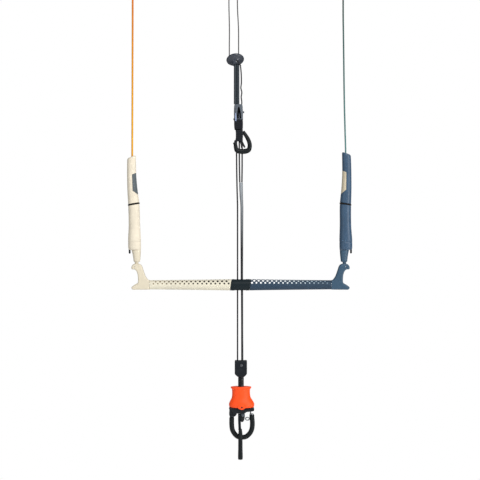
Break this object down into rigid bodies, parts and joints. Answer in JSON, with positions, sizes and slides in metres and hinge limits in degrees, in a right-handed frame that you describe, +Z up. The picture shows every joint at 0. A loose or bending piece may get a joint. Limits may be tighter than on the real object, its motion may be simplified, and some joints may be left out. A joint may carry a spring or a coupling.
{
  "type": "kitesurf control bar",
  "caption": "Kite control bar with winder ends, line floats, rope trimmer with pull handle, swivel, push-away quick release, harness loop and retaining finger.",
  "frame": {"origin": "midway between the tops of the two front lines' end loops, where the kite's front lines hold the whole bar", "axes": "+Z up along the depower line towards the kite, +X to the right along the bar seen from the front, -Y to the front, where the trim handle and the finger are"},
  "size_m": [0.5404, 0.0403, 1.1637],
  "materials": {
    "cream_plastic": "satin",
    "cream_foam": "matte",
    "cream_grip": "matte",
    "blue_plastic": "satin",
    "blue_foam": "matte",
    "blue_grip": "matte",
    "slate": "satin",
    "slate_foam": "matte",
    "tan_foam": "matte",
    "cleat_grey": "satin",
    "black_plastic": "satin",
    "black_sheath": "satin",
    "black_elastic": "matte",
    "navy_plastic": "satin",
    "orange_plastic": "satin",
    "steel": "polished",
    "alu_tube": "anodised",
    "grey_line": "braided",
    "slate_line": "braided",
    "black_line": "braided",
    "orange_line": "braided",
    "teal_line": "braided",
    "black_webbing": "woven"
  },
  "bodies": {
    "kite_lines": {"front_line_left": "grey_line", "front_line_right": "grey_line", "front_loop_left": "grey_line", "front_loop_right": "grey_line", "trim_ring": "slate", "trim_strand": "slate_line", "safety_upper": "black_line"},
    "trimmer": {"cleat_front": "cleat_grey", "cleat_back": "cleat_grey", "cleat_cam": "cleat_grey", "cleat_boot": "black_plastic", "cleat_pin": "steel", "depower_strand_left": "grey_line", "depower_strand_right": "grey_line", "depower_tube": "black_sheath", "safety_line": "black_line", "swivel_front": "black_plastic", "swivel_back": "black_plastic", "swivel_screw": "steel"},
    "trim_handle": {"trim_tail": "slate_line", "handle_stopper": "black_plastic", "handle_loop": "black_sheath", "handle_end": "black_line"},
    "bar_slider": {"line_bushing": "steel"},
    "bar": {"hub_front": "navy_plastic", "hub_back": "navy_plastic", "bar_tube_left": "alu_tube", "bar_tube_right": "alu_tube", "grip_left": "cream_grip", "grip_right": "blue_grip", "bar_end_left": "cream_plastic", "bar_end_right": "blue_plastic"},
    "float_left": {"float_neck_left": "cream_plastic", "float_lower_left": "cream_foam", "float_band_left": "black_elastic", "float_upper_left": "cream_foam", "float_inlay_left": "slate_foam", "float_tab_left": "black_line", "leader_line_left": "orange_line", "leader_knot_left": "orange_line"},
    "float_right": {"float_neck_right": "blue_plastic", "float_lower_right": "blue_foam", "float_band_right": "black_elastic", "float_upper_right": "blue_foam", "float_inlay_right": "tan_foam", "float_tab_right": "black_line", "leader_line_right": "teal_line", "leader_knot_right": "teal_line"},
    "qr": {"swivel_stem": "black_plastic", "release_base": "black_plastic", "loop_hinge_pin": "steel", "release_cam": "black_plastic", "release_spring": "steel"},
    "qr_sleeve": {"release_sleeve": "orange_plastic"},
    "loop": {"chicken_loop": "black_sheath", "loop_latch_pin": "steel", "keeper_ring": "steel"},
    "finger": {"finger_strap": "black_webbing", "finger_rod": "black_plastic"}
  },
  "joints": [
    {"name": "trim_slide", "type": "slide", "parent": "kite_lines", "child": "trimmer", "axis": [0, 0, 1], "range_m": [0, 0.055], "deforming": ["trim_strand", "safety_upper"]},
    {"name": "trim_pull", "type": "slide", "parent": "trimmer", "child": "trim_handle", "axis": [0, 0, -1], "range_m": [0, 0.11]},
    {"name": "bar_slide", "type": "slide", "parent": "trimmer", "child": "bar_slider", "axis": [0, 0, 1], "range_m": [-0.15, 0.16]},
    {"name": "bar_tilt", "type": "hinge", "parent": "bar_slider", "child": "bar", "pos_m": [0.01665, 0, -0.7459], "axis": [0, 1, 0], "range_deg": [-15, 15]},
    {"name": "float_left_flex", "type": "hinge", "parent": "bar", "child": "float_left", "pos_m": [-0.2317, 0, -0.6956], "axis": [0, -1, 0], "range_deg": [-15, 15], "stiffness_Nm_per_rad": 6},
    {"name": "float_right_flex", "type": "hinge", "parent": "bar", "child": "float_right", "pos_m": [0.2667, 0, -0.6956], "axis": [0, -1, 0], "range_deg": [-15, 15], "stiffness_Nm_per_rad": 6},
    {"name": "swivel_spin", "type": "hinge", "parent": "trimmer", "child": "qr", "pos_m": [0.0186, 0, -0.96], "axis": [0, 0, 1], "continuous": true},
    {"name": "sleeve_slide", "type": "slide", "parent": "qr", "child": "qr_sleeve", "axis": [0, 0, 1], "range_m": [0, 0.014], "stiffness_N_per_m": 400, "springref_m": -0.03, "deforming": ["release_spring"]},
    {"name": "loop_open", "type": "hinge", "parent": "qr", "child": "loop", "pos_m": [-0.0024, 0, -1.0488], "axis": [0, 1, 0], "range_deg": [0, 60]},
    {"name": "finger_swing", "type": "hinge", "parent": "qr", "child": "finger", "pos_m": [0.0151, -0.009, -1.0563], "axis": [-1, 0, 0], "range_deg": [0, 75]}
  ],
  "couplings": [
    {"joint": "trim_pull", "follows": "trim_slide", "ratio": 2},
    {"joint": "loop_open", "follows": "sleeve_slide", "rad_per_m": 74}
  ]
}
